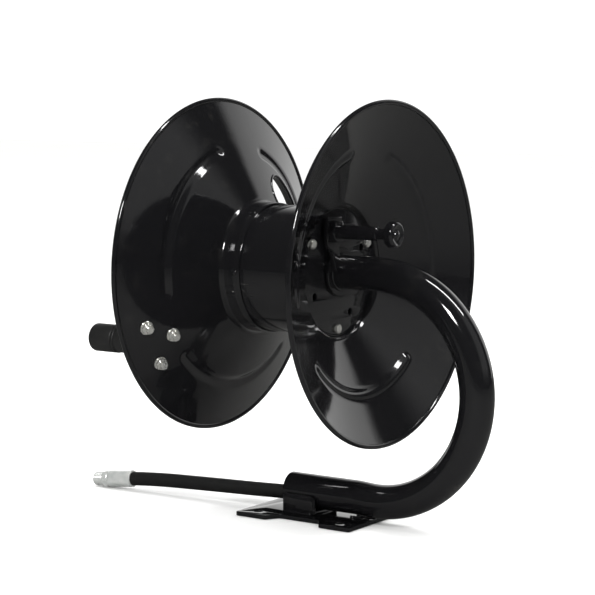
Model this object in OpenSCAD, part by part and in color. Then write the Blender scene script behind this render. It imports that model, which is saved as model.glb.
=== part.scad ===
// Hose reel for a high-pressure hose: a drum between two dished flanges turns on a
// hollow spindle, which one bent tube carries over a small bolt-down base plate.
// Millimetres. +X runs along the spindle towards the arm, -Y is the front, +Z is up.
// The origin is the middle of the base plate's underside.

/* [Reel] */
// Outside diameter of both flanges, over the rolled rim
flange_d = 400; // [360:10:440]
// Distance between the two rims, middle to middle
rim_gap = 240; // [230:2:250]
// Outside diameter of the drum that the hose is wound on
drum_d = 150; // [146:1:152]
// Thickness of the flange sheet
flange_t = 2; // [1.5:0.1:2.5]
// Height of the spindle's axis above the floor
axis_h = 292; // [285:1:300]
// Place of the drum's middle along the spindle
reel_x = -25; // [-26:0.5:-24]

/* [Arm] */
// Outside diameter of the bent tube
arm_d = 40; // [38:0.5:42]
// Wall thickness of the bent tube
arm_wall = 2; // [1.5:0.25:2.5]
// Where the upper bend starts
bend_x = 83; // [80:1:90]
// Length of the level leg that lies in the saddle
leg_l = 88.5; // [84:0.5:92]

/* [Base] */
// Length of the base plate
base_l = 160; // [150:1:180]
// Width of the base plate over its ears
base_w = 108; // [102:1:120]
// Thickness of the base plate
base_t = 5; // [4:0.5:6]
// Diameter of the four fixing holes
fix_d = 11; // [9:0.5:12]
// Distance between fixing holes along the plate
fix_x = 116; // [110:1:130]
// Distance between fixing holes across the plate
fix_y = 78; // [72:1:84]

/* [Crank] */
// Diameter of the turning grip
grip_d = 33; // [30:0.5:36]
// Length of the turning grip
grip_l = 79; // [72:1:86]
// Distance of the grip's axis from the spindle's axis
crank_r = 158; // [156:0.5:160]

/* [Lead hose] */
// Outside diameter of the lead hose
hose_d = 17.2; // [15:0.2:18]

/* [Hidden] */
$fn = 96;

steel_black = [0.06, 0.06, 0.065];
zinc = [0.78, 0.79, 0.80];
brass = [0.80, 0.66, 0.36];
rubber = [0.08, 0.08, 0.08];
eps = 0.01;

// Flange section: a neck over the drum, a bend, a straight cone and a rolled rim
neck_clear = 0.05;
neck_r = drum_d / 2 + neck_clear + flange_t;
neck_start = 33;
bend_r = 8;
cone_rise = 0.504;
cone_a = atan(cone_rise);
rim_bead = 3;
rim_r = flange_d / 2 - rim_bead;
// Winding-side surface of the cone: how far it stands from the drum's middle at radius r
function cone_z(r) = rim_gap / 2 - 1 + (r - rim_r) * cone_rise;
bend_c = [neck_r + bend_r, cone_z(neck_r + bend_r) - bend_r / cos(cone_a)];
// Pressed ribs: three arcs, in step with the hub bolts
rib_r = 141;
rib_a = 84;
rib_out = 12;
rib_depth = rib_out - 3;
third = 120;
reel_a = 27;

// Hub: plates bolted to the drum's end rings
plate_face = 54.5;
near_x = reel_x + plate_face;
far_x = reel_x - plate_face;
plate_t = 3.5;
plate_r = drum_d / 2 - 2;
drum_wall = 1.5;
ring_t = 3.5;
ring_in = 60.2;
hub_bolt_r = 66.5;
hub_bolt_d = 6;
hub_head_af = 10;
hub_head_h = 4;
hub_nut_h = 5;

// Spindle, its bushes and the swivel at its far end
spindle_d = 25;
spindle_bore = 12;
spindle_far = far_x - 20.5;
bush_d = 32;
bush_l = 30;
run = 0.05;
housing_d = 40;
clip_w = 1.6;
clip_groove_d = 22.6;
washer_d = 38;
washer_t = 1.6;
washer_x = near_x - bush_l - 0.3 - washer_t;
clip_x = washer_x - 0.1 - clip_w;
swivel_l = 40;
swivel_d = 44;
swivel_flange_d = 66;
swivel_flange_t = 6;
swivel_screw_r = 27;
swivel_chamber_d = 16;
seal_wire = 3.5;
seal_xs = [far_x - 6.5, far_x - 13.5];
outlet_a = 43;
outlet_x = far_x - 27.5;
// The outlet leans a little, so that a straight hose passes through the window
outlet_tilt = 4.5;

// Arm: level, round the bend, a short rise, and level again through the saddle
collar_gap = 0.5;
collar_t = 4;
arm_x = near_x + collar_gap + collar_t;
collar_d = 57;
arm_r = arm_d / 2;
// Gap between the bend and the plate, which the weld at its foot fills
bend_lift = 2.2;
bend_clr = (axis_h - base_t - bend_lift - arm_r) / 2;
// The bend turns a little past half a circle, on a right triangle with sides 237, 3116 and 3125
over_bend = atan2(237, 3116);
rise_l = 11;
back_clr = 125;
leg_z = axis_h - bend_clr + rise_l * sin(over_bend) + back_clr
    - (bend_clr + back_clr) * cos(over_bend);
saddle_x = [-33, 10];
saddle_w = 48;
saddle_top = 26;
plug_l = 11;
spindle_near = arm_x + plug_l + 1;

// Hose inside the arm
lead_z = 23.5;
lead_clr = (axis_h - lead_z) / 2;
stem_nut = [spindle_near, spindle_near + 12];
stem_nut_af = 22;
ferrule_d = 21.3;

// Lead hose outside the arm: out of the tube's mouth, sagging to its fitting on the floor
lead_route = [[-36, 0, 23.5], [-52, 0, 23.2], [-69, -0.2, 22.5], [-86, -0.5, 21.8],
    [-103, -1, 21.2], [-120, -1.5, 20.7], [-137, -2.1, 20.2], [-154, -2.8, 19.7],
    [-171, -3.5, 19.2], [-188, -4.3, 18.7], [-205, -5.2, 18.2], [-222, -6.1, 17.6],
    [-236, -7, 16.9], [-250, -7.9, 16.1], [-262, -8.7, 15.2], [-272, -9.4, 14.3],
    [-282, -10.1, 13.3], [-292, -10.8, 12.3]];
lead_end = lead_route[len(lead_route) - 1];
lead_dir = lead_end - lead_route[len(lead_route) - 3];
ferrule_back = 20;
ferrule_l = 36;
nipple_hex_af = 19;
nipple_hex_l = 8;
nipple_d = 16.6;
nipple_l = 14;
nipple_bore = 9;
hose_sides = 12;

// Spring plunger that locks the reel, beside the arm's upper end
lock_a = 117;
lock_r = 55;
lock_hole_d = 8.6;
lock_turn = 90;
pin_d = 8;
pin_tip = near_x + 2.1;
tab_t = 6;
barrel = [arm_x + tab_t, arm_x + tab_t + 60];
barrel_d = 16;
barrel_bore = 12.4;
lock_nut_af = 24;
lock_nut_h = 8;
pin_collar = [barrel[0] + 13, barrel[0] + 16];
inner_ring = [barrel[0] + 32, barrel[0] + 35];
stem_d = 11.8;
stem_x = barrel[0] + 48;
rod_d = 7;
knob = [barrel[1] + 13, barrel[1] + 26];
knob_d = 30;
spring_wire = 1.4;
spring_turns = 5;
spring_steps = 14;

// Crank: three bolts through the far flange around the handle's stud
crank_a = -149.5;
stud_d = 10;
grip_body = 33.6;
crank_bolt_d = 8;
crank_plate_t = 4;
crank_corner_r = 13;
crank_af = 13;
crank_head_h = 5.3;
crank_nut_h = 6.5;
crank_washer_t = 1.6;
crank_washer_d = 16;
crank_gap = 0.2;
crank_holes = [[144, -150.5], [169, -159], [169, -142]];
// The grip starts clear of the crank plate and its bolt heads
grip_x = reel_x - cone_z(crank_r + grip_d / 2) - (flange_t + crank_plate_t) / cos(cone_a) - 5.1;

// Hose window in the far flange
window_r = 105;
window_w = 42;
window_a = [34, 52];
lip_t = 2;
lip_h = 8;
// The lip stands round the window's outer side and ends, and stops short of the neck
lip_from = 97;

// ---- helpers ----
// The reel's own frame: its axis is Z here, and angles run from +Y towards +Z
module reel_frame() translate([reel_x, 0, axis_h]) rotate([0, 90, 0]) children();
module far_side() mirror([0, 0, 1]) children();
module at_angle(a, r = 0) rotate([0, 0, a + 90]) translate([r, 0, 0]) children();
module thirds(start = 0) for (i = [0 : 2]) rotate([0, 0, start + i * third]) children();
// Round bar along the spindle's axis, from one X to another
module bar(x0, x1, d, z = axis_h, y = 0)
    translate([x0, y, z]) rotate([0, 90, 0]) cylinder(d = d, h = x1 - x0);
module pipe(x0, x1, d, bore, z = axis_h, y = 0) difference() {
    bar(x0, x1, d, z, y);
    bar(x0 - 1, x1 + 1, bore, z, y);
}
module hex(af, h) rotate([0, 0, 30]) cylinder(d = af / cos(30), h = h, $fn = 6);

function arc(c, r, a0, a1, n = 8) =
    [for (i = [0 : n]) c + r * [cos(a0 + (a1 - a0) * i / n), sin(a0 + (a1 - a0) * i / n)]];
function unit(v) = v / norm(v);
function tangent(p, i) = unit(p[min(i + 1, len(p) - 1)] - p[max(i - 1, 0)]);
// A round tube swept along points; up is any direction that the route never runs along
module swept_tube(p, r, sides, up) {
    rings = [for (i = [0 : len(p) - 1])
        let (t = tangent(p, i), s = unit(cross(t, up)), w = cross(t, s))
        for (k = [0 : sides - 1]) p[i] + r * (cos(k * 360 / sides) * s + sin(k * 360 / sides) * w)];
    walls = [for (i = [0 : len(p) - 2], k = [0 : sides - 1])
        let (a = i * sides + k, b = i * sides + (k + 1) % sides)
        each [[a, a + sides, b + sides], [a, b + sides, b]]];
    first = [for (k = [0 : sides - 1]) k];
    last = [for (k = [sides - 1 : -1 : 0]) (len(p) - 1) * sides + k];
    polyhedron(points = rings, faces = concat([first], walls, [last]), convexity = 4);
}

// ---- base and arm ----
module base_plate() {
    half = base_l / 2;
    ear = 42;
    inset = 16;
    slope = 10;
    side = [[-half, base_w / 2], [-half + ear, base_w / 2],
        [-half + ear + slope, base_w / 2 - inset], [half - ear - slope, base_w / 2 - inset],
        [half - ear, base_w / 2], [half, base_w / 2]];
    outline = concat(side, [for (i = [5 : -1 : 0]) [side[i][0], -side[i][1]]]);
    color(steel_black) difference() {
        linear_extrude(base_t) polygon(outline);
        for (x = [-1, 1], y = [-1, 1])
            translate([x * fix_x / 2, y * fix_y / 2, -1]) cylinder(d = fix_d, h = base_t + 2);
    }
}

module saddle_bracket() color(steel_black) difference() {
    translate([saddle_x[0], -saddle_w / 2, base_t])
        cube([saddle_x[1] - saddle_x[0], saddle_w, saddle_top - base_t]);
    translate([saddle_x[0] - 1, -arm_r, leg_z - arm_r])
        cube([saddle_x[1] - saddle_x[0] + 2, arm_d, saddle_top]);
}

module weld_beads() {
    bead = 6;
    foot = [50, 78];
    color(steel_black) {
        for (s = [-1, 1]) difference() {
            bar(saddle_x[0] + 2, saddle_x[1] - 2, bead, saddle_top, s * (arm_r + 1));
            bar(saddle_x[0], saddle_x[1], arm_d, leg_z);
            translate([saddle_x[0] - 1, -saddle_w / 2 - 1, 0])
                cube([saddle_x[1] - saddle_x[0] + 2, saddle_w + 2, saddle_top]);
        }
        for (s = [-1, 1]) translate([saddle_x[0], s * saddle_w / 2, base_t])
            difference() {
                rotate([0, 90, 0]) cylinder(d = bead, h = saddle_x[1] - saddle_x[0]);
                translate([-1, s > 0 ? -bead : 0, -bead])
                    cube([saddle_x[1] - saddle_x[0] + 2, bead, 2 * bead]);
                translate([-1, -bead, -bead])
                    cube([saddle_x[1] - saddle_x[0] + 2, 2 * bead, bead]);
            }
        difference() {
            translate([foot[0], -8, base_t]) cube([foot[1] - foot[0], 16, 4]);
            arm_path(arm_d);
        }
    }
}

// A whole ring standing in the XZ plane, and the half of space on one side of a plane
module ring(r, d) rotate([90, 0, 0]) rotate_extrude() translate([r, 0]) circle(d = d);
module half_space(x, z) {
    side = 400;
    translate([(x - 1) * side / 2, -side / 2, (z - 1) * side / 2]) cube(side);
}

// The arm's centreline swept at any diameter: a level bar, half a turn, and inside frames
// that tip by the same small angle, the rest of the turn, the rise and the bend back to level
module arm_path(d) {
    bar(arm_x, bend_x, d);
    translate([bend_x, 0, axis_h - bend_clr]) {
        rotate([90, 0, 0]) rotate([0, 0, -90]) rotate_extrude(angle = 180)
            translate([bend_clr, 0]) circle(d = d);
        difference() {
            ring(bend_clr, d);
            half_space(1, 0);
            half_space(0, 1);
            rotate([0, over_bend, 0]) half_space(-1, 0);
        }
        rotate([0, over_bend, 0]) {
            translate([-rise_l, 0, -bend_clr]) rotate([0, 90, 0]) cylinder(d = d, h = rise_l);
            translate([-rise_l, 0, -bend_clr - back_clr]) rotate([0, -over_bend, 0]) {
                difference() {
                    ring(back_clr, d);
                    half_space(-1, 0);
                    half_space(0, -1);
                    rotate([0, over_bend, 0]) half_space(1, 0);
                }
                translate([-leg_l, 0, back_clr]) rotate([0, 90, 0]) cylinder(d = d, h = leg_l);
            }
        }
    }
}

module arm_tube() color(steel_black) difference() {
    arm_path(arm_d);
    arm_path(arm_d - 2 * arm_wall);
}

module arm_collar() color(steel_black) pipe(arm_x - collar_t, arm_x, collar_d, spindle_d);

module spindle_plug() color(steel_black)
    pipe(arm_x, arm_x + plug_l, arm_d - 2 * arm_wall, spindle_d);

// ---- spindle and what holds the reel on it ----
module spindle() color(zinc) difference() {
    bar(spindle_far, spindle_near, spindle_d);
    bar(spindle_far - 1, spindle_near + 1, spindle_bore);
    difference() {
        bar(clip_x, clip_x + clip_w, spindle_d + 2);
        bar(clip_x - 1, clip_x + clip_w + 1, clip_groove_d);
    }
}

module thrust_washer() color(zinc)
    pipe(washer_x, washer_x + washer_t, washer_d, spindle_d + 0.4);

module spindle_clip() color(zinc) difference() {
    pipe(clip_x + 0.1, clip_x + clip_w, 32, clip_groove_d);
    translate([clip_x - 1, -4, axis_h]) cube([clip_w + 2, 8, 20]);
}

module near_bush() color(brass)
    pipe(near_x - bush_l, near_x, bush_d, spindle_d + 2 * run);

module far_bush() color(brass)
    pipe(far_x, far_x + bush_l, bush_d, spindle_d + 2 * run);

module near_housing() color(steel_black)
    pipe(near_x - bush_l, near_x, housing_d, bush_d);

module far_housing() color(steel_black)
    pipe(far_x, far_x + bush_l, housing_d, bush_d);

// ---- lead hose ----
module arm_hose() color(rubber) {
    translate([bend_x, 0, axis_h - lead_clr]) rotate([90, 0, 0])
        rotate([0, 0, -90]) rotate_extrude(angle = 180) translate([lead_clr, 0]) circle(d = hose_d);
    bar(lead_route[0][0], bend_x, hose_d, lead_z);
}

module arm_hose_nut() color(zinc) difference() {
    translate([stem_nut[0], 0, axis_h]) rotate([0, 90, 0]) hex(stem_nut_af, stem_nut[1] - stem_nut[0]);
    bar(stem_nut[0] - 1, stem_nut[1] + 1, spindle_bore);
}

module arm_hose_ferrule() color(zinc) bar(stem_nut[1], bend_x, ferrule_d);

module lead_hose() color(rubber) swept_tube(lead_route, hose_d / 2, hose_sides, [0, 0, 1]);

// Local Z runs along the hose's end, with zero at the last point of its route
module at_lead_end() translate(lead_end)
    rotate([0, acos(lead_dir[2] / norm(lead_dir)), atan2(lead_dir[1], lead_dir[0])]) children();

module lead_ferrule() color(zinc) at_lead_end() difference() {
    translate([0, 0, -ferrule_back]) cylinder(d = ferrule_d, h = ferrule_l);
    translate([0, 0, -ferrule_back - 1]) cylinder(d = hose_d + 0.1, h = ferrule_back + 1);
}

module lead_nipple() color(zinc) at_lead_end() translate([0, 0, ferrule_l - ferrule_back])
    difference() {
        union() {
            hex(nipple_hex_af, nipple_hex_l);
            translate([0, 0, nipple_hex_l - eps]) cylinder(d = nipple_d, h = nipple_l + eps);
        }
        translate([0, 0, 2]) cylinder(d = nipple_bore, h = nipple_hex_l + nipple_l);
    }

// ---- reel lock ----
lock_y = lock_r * cos(lock_a);
lock_z = axis_h + lock_r * sin(lock_a);

module lock_tab() {
    outline = [[-38, 66], [-8, 66], [-14, 26], [-10, 10], [-19, 0], [-29, 26], [-38, 32]];
    color(steel_black) difference() {
        translate([arm_x, 0, axis_h]) rotate([90, 0, 90]) linear_extrude(tab_t) polygon(outline);
        bar(arm_x - 1, arm_x + tab_t + 1, arm_d);
        bar(arm_x - 1, arm_x + tab_t + 1, lock_hole_d, lock_z, lock_y);
    }
}

module lock_barrel() color(steel_black)
    pipe(barrel[0], barrel[1], barrel_d, barrel_bore, lock_z, lock_y);

module lock_nut() color(steel_black) difference() {
    translate([barrel[0], lock_y, lock_z]) rotate([0, 90, 0]) hex(lock_nut_af, lock_nut_h);
    bar(barrel[0] - 1, barrel[0] + lock_nut_h + 1, barrel_d, lock_z, lock_y);
}

module lock_ring() color(zinc)
    pipe(inner_ring[0], inner_ring[1], barrel_bore, rod_d + 0.6, lock_z, lock_y);

module lock_spring() {
    coil_r = (pin_d / 2 + barrel_bore / 2) / 2;
    from = pin_collar[1] + spring_wire;
    pitch = (inner_ring[0] - pin_collar[1] - 2 * spring_wire) / spring_turns;
    line = [for (i = [0 : spring_turns * spring_steps]) let (a = i * 360 / spring_steps)
        [from + pitch * i / spring_steps, lock_y + coil_r * cos(a), lock_z + coil_r * sin(a)]];
    color(zinc) swept_tube(line, spring_wire / 2, 6, [1, 0, 0]);
}

module lock_plunger() color(steel_black) {
    bar(pin_tip, pin_collar[0], pin_d, lock_z, lock_y);
    bar(pin_collar[0] - eps, pin_collar[1], barrel_bore - 0.8, lock_z, lock_y);
    bar(pin_collar[1] - eps, stem_x, rod_d, lock_z, lock_y);
    bar(stem_x - eps, knob[0], stem_d, lock_z, lock_y);
}

module lock_knob() {
    kr = knob_d / 2;
    kh = knob[1] - knob[0];
    outline = concat([[0, 0], [stem_d / 2 + 2, 0]], arc([kr - 4, 5], 4, -60, 0, 4),
        arc([kr - 5, kh - 5], 5, 0, 75, 5), [[0, kh]]);
    color(steel_black) translate([knob[0], lock_y, lock_z]) rotate([0, 90, 0])
        rotate_extrude() polygon(outline);
}

// ---- drum and flanges ----
module drum() {
    half = plate_face - plate_t;
    color(steel_black) reel_frame() difference() {
        union() {
            difference() {
                translate([0, 0, -plate_face]) cylinder(d = drum_d, h = 2 * plate_face);
                translate([0, 0, -plate_face - 1])
                    cylinder(d = drum_d - 2 * drum_wall, h = 2 * plate_face + 2);
            }
            for (s = [0, 1]) mirror([0, 0, s]) translate([0, 0, half - ring_t]) difference() {
                cylinder(d = drum_d - drum_wall, h = ring_t);
                translate([0, 0, -1]) cylinder(r = ring_in, h = ring_t + 2);
            }
        }
        for (s = [0, 1]) mirror([0, 0, s]) thirds(reel_a)
            at_angle(0, hub_bolt_r) translate([0, 0, half - ring_t - 1])
                cylinder(d = hub_bolt_d + 0.6, h = ring_t + 2);
        rivet_places() cylinder(d = 4, h = 12, center = true);
    }
}

// Rivets through each flange's neck and the drum, six a side
module rivet_places()
    for (s = [0, 1], i = [0 : 5]) mirror([0, 0, s])
        translate([0, 0, neck_start + 7]) at_angle(i * 60, drum_d / 2) rotate([0, 90, 0]) children();

module neck_rivets() color(steel_black) reel_frame() rivet_places() {
    translate([0, 0, -drum_wall - 1]) cylinder(d = 4, h = drum_wall + 1 + flange_t + 1);
    translate([0, 0, flange_t + 0.2]) cylinder(d = 7, h = 1.4);
}

// Section of one flange: winding side out to the rim, then back along the other side
function flange_section() = let (n = [-sin(cone_a), cos(cone_a)], e = [rim_r - 1, cone_z(rim_r - 1)])
    concat([[neck_r, neck_start]], arc(bend_c, bend_r, 180, 90 + cone_a),
        [e, e + flange_t * n], arc(bend_c, bend_r + flange_t, 90 + cone_a, 180),
        [[neck_r - flange_t, neck_start]]);

// A sheet that follows the cone, from one height above the winding side to another
module cone_band(from, to, r0, r1) rotate_extrude()
    polygon([[r0, cone_z(r0) + from / cos(cone_a)], [r1, cone_z(r1) + from / cos(cone_a)],
        [r1, cone_z(r1) + to / cos(cone_a)], [r0, cone_z(r0) + to / cos(cone_a)]]);

module flange_sheet() {
    c = [rib_r, cone_z(rib_r)] + (rib_depth - flange_t) * [sin(cone_a), -cos(cone_a)];
    half = acos((rib_depth - flange_t) / rib_out);
    difference() {
        union() {
            rotate_extrude() polygon(flange_section());
            rotate_extrude() translate([rim_r, cone_z(rim_r) + flange_t / 2]) circle(rim_bead);
            thirds(reel_a + 90 - rib_a / 2) rotate_extrude(angle = rib_a)
                polygon(arc(c, rib_out, 90 + cone_a - half, 90 + cone_a + half, 12));
        }
        thirds(reel_a + 90 - rib_a / 2 + 1) rotate_extrude(angle = rib_a - 2)
            translate(c) circle(rib_out - flange_t);
        for (i = [0 : 5]) translate([0, 0, neck_start + 7]) at_angle(i * 60, drum_d / 2)
            rotate([0, 90, 0]) cylinder(d = 4, h = 12, center = true);
    }
}

module near_flange() color(steel_black) reel_frame() flange_sheet();

// The window's outline, grown by g all round
module window_prism(g) {
    w = window_w / 2 + g;
    ends = [for (a = window_a) window_r * [cos(a), sin(a)]];
    rotate([0, 0, 90]) translate([0, 0, 50]) linear_extrude(80) polygon(concat(
        arc([0, 0], window_r + w, window_a[0], window_a[1]),
        arc(ends[1], w, window_a[1] + 20, window_a[1] + 160, 7),
        arc([0, 0], window_r - w, window_a[1], window_a[0]),
        arc(ends[0], w, window_a[0] + 200, window_a[0] + 340, 7)));
}

module far_flange() color(steel_black) reel_frame() mirror([0, 0, 1]) difference() {
    union() {
        flange_sheet();
        intersection() {
            cone_band(flange_t / 2, flange_t + lip_h, lip_from, 140);
            window_prism(lip_t);
        }
    }
    window_prism(0);
    crank_places() cylinder(d = crank_bolt_d + 0.4, h = 40, center = true);
}

module hub_plate(holes) difference() {
    translate([0, 0, plate_face - plate_t]) cylinder(r = plate_r, h = plate_t);
    translate([0, 0, plate_face - plate_t - 1]) cylinder(d = housing_d, h = plate_t + 2);
    thirds(reel_a) at_angle(0, hub_bolt_r) translate([0, 0, plate_face - plate_t - 1])
        cylinder(d = hub_bolt_d + 0.6, h = plate_t + 2);
    if (holes) for (i = [0 : 3]) at_angle(lock_a + i * lock_turn, lock_r)
        translate([0, 0, plate_face - plate_t - 1]) cylinder(d = lock_hole_d, h = plate_t + 2);
}

module near_hub_plate() color(steel_black) reel_frame() hub_plate(true);
module far_hub_plate() color(steel_black) reel_frame() far_side() difference() {
    hub_plate(false);
    for (i = [0 : 3]) at_angle(i * 90, swivel_screw_r)
        translate([0, 0, plate_face - plate_t - 1]) cylinder(d = 5, h = plate_t + 2);
}

module hub_bolts() color(zinc) reel_frame() for (s = [0, 1]) mirror([0, 0, s])
    thirds(reel_a) at_angle(0, hub_bolt_r) translate([0, 0, plate_face]) {
        hex(hub_head_af, hub_head_h);
        translate([0, 0, -14]) cylinder(d = hub_bolt_d, h = 14 + eps);
    }

module hub_nuts() color(zinc) reel_frame() for (s = [0, 1]) mirror([0, 0, s])
    thirds(reel_a) at_angle(0, hub_bolt_r)
        translate([0, 0, plate_face - plate_t - ring_t - hub_nut_h]) difference() {
            hex(hub_head_af, hub_nut_h);
            translate([0, 0, -1]) cylinder(d = hub_bolt_d, h = hub_nut_h + 2);
        }

// ---- swivel and outlet ----
module swivel_body() color(zinc) difference() {
    union() {
        bar(far_x - swivel_l, far_x, swivel_d);
        bar(far_x - swivel_flange_t, far_x, swivel_flange_d);
    }
    bar(spindle_far - 1, far_x + 1, spindle_d + 2 * run);
    bar(spindle_far - 12, spindle_far, swivel_chamber_d);
    for (x = seal_xs)
        bar(x - seal_wire / 2, x + seal_wire / 2, spindle_d + 2 * run + 2 * seal_wire);
    outlet_frame() cylinder(d = 10, h = swivel_d);
    reel_frame() far_side() for (i = [0 : 3]) at_angle(i * 90, swivel_screw_r)
        translate([0, 0, plate_face - 1]) cylinder(d = 5, h = 10);
}

// Local Z points out of the spindle's axis, along the outlet
module outlet_frame() translate([outlet_x, 0, axis_h]) rotate([outlet_a - 90, 0, 0])
    rotate([0, outlet_tilt, 0]) children();

module outlet_fitting() color(zinc) difference() {
    outlet_frame() {
        translate([0, 0, swivel_d / 2 - 3]) hex(22, 13);
        translate([0, 0, swivel_d / 2 + 10 - eps]) cylinder(d = nipple_d, h = nipple_l + eps);
    }
    outlet_frame() translate([0, 0, swivel_d / 2 - 4]) cylinder(d = nipple_bore, h = 40);
    bar(far_x - 2 * swivel_l, far_x, swivel_d);
}

module swivel_seals() color(rubber) for (x = seal_xs) translate([x, 0, axis_h]) rotate([0, 90, 0])
    rotate_extrude() translate([spindle_d / 2 + run + seal_wire / 2, 0]) circle(d = seal_wire);

module swivel_screws() color(zinc) reel_frame() far_side() for (i = [0 : 3])
    at_angle(i * 90, swivel_screw_r) translate([0, 0, plate_face + swivel_flange_t]) {
        cylinder(d = 8.5, h = 5);
        translate([0, 0, -swivel_flange_t - plate_t - 2])
            cylinder(d = 5, h = swivel_flange_t + plate_t + 3);
    }

// ---- crank ----
// Each bolt stands square to the cone at its own place; local Z points out of the dish
module crank_places() for (h = crank_holes) at_angle(h[1], h[0])
    translate([0, 0, cone_z(h[0])]) rotate([0, -cone_a, 0]) children();

function crank_corner(i) = let (h = crank_holes[i]) h[0] * [cos(h[1] + 90), sin(h[1] + 90)];
function edge_a(p, q) = atan2(q[1] - p[1], q[0] - p[0]) - 90;

module crank_plate() {
    c = [for (i = [0 : 2]) crank_corner(i)];
    outline = [for (i = [0 : 2]) let (p = c[(i + 2) % 3], q = c[i], s = c[(i + 1) % 3],
        a0 = edge_a(p, q), a1 = edge_a(q, s))
        each arc(q, crank_corner_r, a0, a1 < a0 ? a1 + 360 : a1, 6)];
    color(steel_black) reel_frame() far_side() difference() {
        intersection() {
            cone_band(flange_t, flange_t + crank_plate_t, 110, 190);
            translate([0, 0, 40]) linear_extrude(100) polygon(outline);
        }
        crank_places() cylinder(d = crank_bolt_d + 0.4, h = 40, center = true);
    }
}

module crank_bolts() color(zinc) reel_frame() far_side() crank_places()
    translate([0, 0, flange_t + crank_plate_t + crank_gap]) {
        hex(crank_af, crank_head_h);
        translate([0, 0, -18]) cylinder(d = crank_bolt_d, h = 18 + eps);
    }

module crank_washers() color(zinc) reel_frame() far_side() crank_places()
    translate([0, 0, -crank_washer_t - crank_gap]) difference() {
        cylinder(d = crank_washer_d, h = crank_washer_t);
        translate([0, 0, -1]) cylinder(d = crank_bolt_d, h = crank_washer_t + 2);
    }

module crank_nuts() color(zinc) reel_frame() far_side() crank_places()
    translate([0, 0, -crank_washer_t - crank_gap - crank_nut_h]) difference() {
        hex(crank_af, crank_nut_h);
        translate([0, 0, -1]) cylinder(d = crank_bolt_d, h = crank_nut_h + 2);
    }

grip_y = crank_r * cos(crank_a);
grip_z = axis_h + crank_r * sin(crank_a);

module handle_stud() color(zinc) difference() {
    union() {
        bar(grip_x + 1, grip_x + 24, 16, grip_z, grip_y);
        bar(grip_x - grip_l + 6, grip_x + 2, stud_d, grip_z, grip_y);
        bar(grip_x - grip_l + 2, grip_x - grip_l + 6 + eps, stud_d + 8, grip_z, grip_y);
    }
    reel_frame() far_side() cone_band(-60, flange_t + crank_plate_t, 100, 195);
}

// Two plain lengths with a bead between two grooves, and a rounded outer end
module handle_grip() {
    gr = grip_d / 2;
    neck = gr - 0.8;
    bead = grip_l - grip_body - 2.3;
    outline = concat([[stud_d / 2 + 0.3, 0], [neck - 1, 0], [neck, 1], [neck, bead - 2.8],
        [neck - 1.2, bead - 2]], arc([gr - 2, bead], 2, -60, 60, 6),
        [[neck - 1, bead + 2.1], [gr - 0.8, bead + 2.5], [gr, bead + 3.4]],
        arc([gr - 4, grip_l - 4], 4, 0, 80, 5),
        [[stud_d / 2 + 5, grip_l], [stud_d / 2 + 5, grip_l - 7], [stud_d / 2 + 0.3, grip_l - 7]]);
    color([0.09, 0.09, 0.09]) translate([grip_x, grip_y, grip_z]) rotate([0, -90, 0])
        rotate_extrude() polygon(outline);
}

module grip_cap() color([0.09, 0.09, 0.09])
    bar(grip_x - grip_l - 1, grip_x - grip_l + 1.5, stud_d + 10, grip_z, grip_y);

base_plate();
saddle_bracket();
weld_beads();
arm_tube();
arm_collar();
spindle_plug();
spindle();
thrust_washer();
spindle_clip();
arm_hose();
arm_hose_ferrule();
arm_hose_nut();
lead_hose();
lead_ferrule();
lead_nipple();
lock_tab();
lock_barrel();
lock_nut();
lock_ring();
lock_spring();
lock_plunger();
lock_knob();
drum();
near_flange();
far_flange();
near_hub_plate();
far_hub_plate();
hub_bolts();
hub_nuts();
neck_rivets();
near_housing();
far_housing();
near_bush();
far_bush();
swivel_body();
swivel_seals();
swivel_screws();
outlet_fitting();
crank_plate();
crank_bolts();
crank_washers();
crank_nuts();
handle_stud();
handle_grip();
grip_cap();
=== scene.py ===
# %% [markdown]
# # A hose reel, dressed for its portrait
# The reel is a drum between two dished flanges, carried by one bent tube on a small bolt-down plate.
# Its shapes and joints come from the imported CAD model. Here each visible part gets a finer shape or a
# finish, and a camera, a floor and lights. Everything is in metres, with X along the spindle.

# %% Load the model
import math

import bmesh
import bpy
from mathutils import Matrix, Vector


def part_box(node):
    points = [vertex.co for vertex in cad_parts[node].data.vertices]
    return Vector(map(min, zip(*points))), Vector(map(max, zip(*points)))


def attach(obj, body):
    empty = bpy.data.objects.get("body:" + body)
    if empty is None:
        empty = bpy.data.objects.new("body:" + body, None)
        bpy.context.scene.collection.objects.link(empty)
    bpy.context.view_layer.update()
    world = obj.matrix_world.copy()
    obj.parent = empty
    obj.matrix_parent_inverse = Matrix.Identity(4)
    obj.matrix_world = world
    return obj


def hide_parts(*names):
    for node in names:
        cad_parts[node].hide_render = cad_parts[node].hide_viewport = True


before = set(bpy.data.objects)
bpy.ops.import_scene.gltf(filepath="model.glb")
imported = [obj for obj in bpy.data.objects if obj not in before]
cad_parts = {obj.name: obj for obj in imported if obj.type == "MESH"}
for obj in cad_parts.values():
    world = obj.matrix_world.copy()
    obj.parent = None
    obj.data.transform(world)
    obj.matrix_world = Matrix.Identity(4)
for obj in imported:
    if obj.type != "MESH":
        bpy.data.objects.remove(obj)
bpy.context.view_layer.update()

MM = 0.001

# %% [markdown]
# ## Camera
# A long lens from the front right, a little above level, keeps the two flanges almost parallel. The
# lens is on a 36 mm sensor. It could be turned by hand, but aiming it at a point is exact and readable.

# %% Camera
def in_scene(name, data):
    made = bpy.data.objects.new(name, data)
    bpy.context.scene.collection.objects.link(made)
    return made


DRUM_X, SPINDLE_Z = -25, 292
REEL_X, AXIS_H = DRUM_X * MM, SPINDLE_Z * MM
AIM = Vector((-28.4, 0, 258.2)) * MM
azimuth, elevation, distance = math.radians(34.576), math.radians(6.505), 2406.7 * MM

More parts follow.
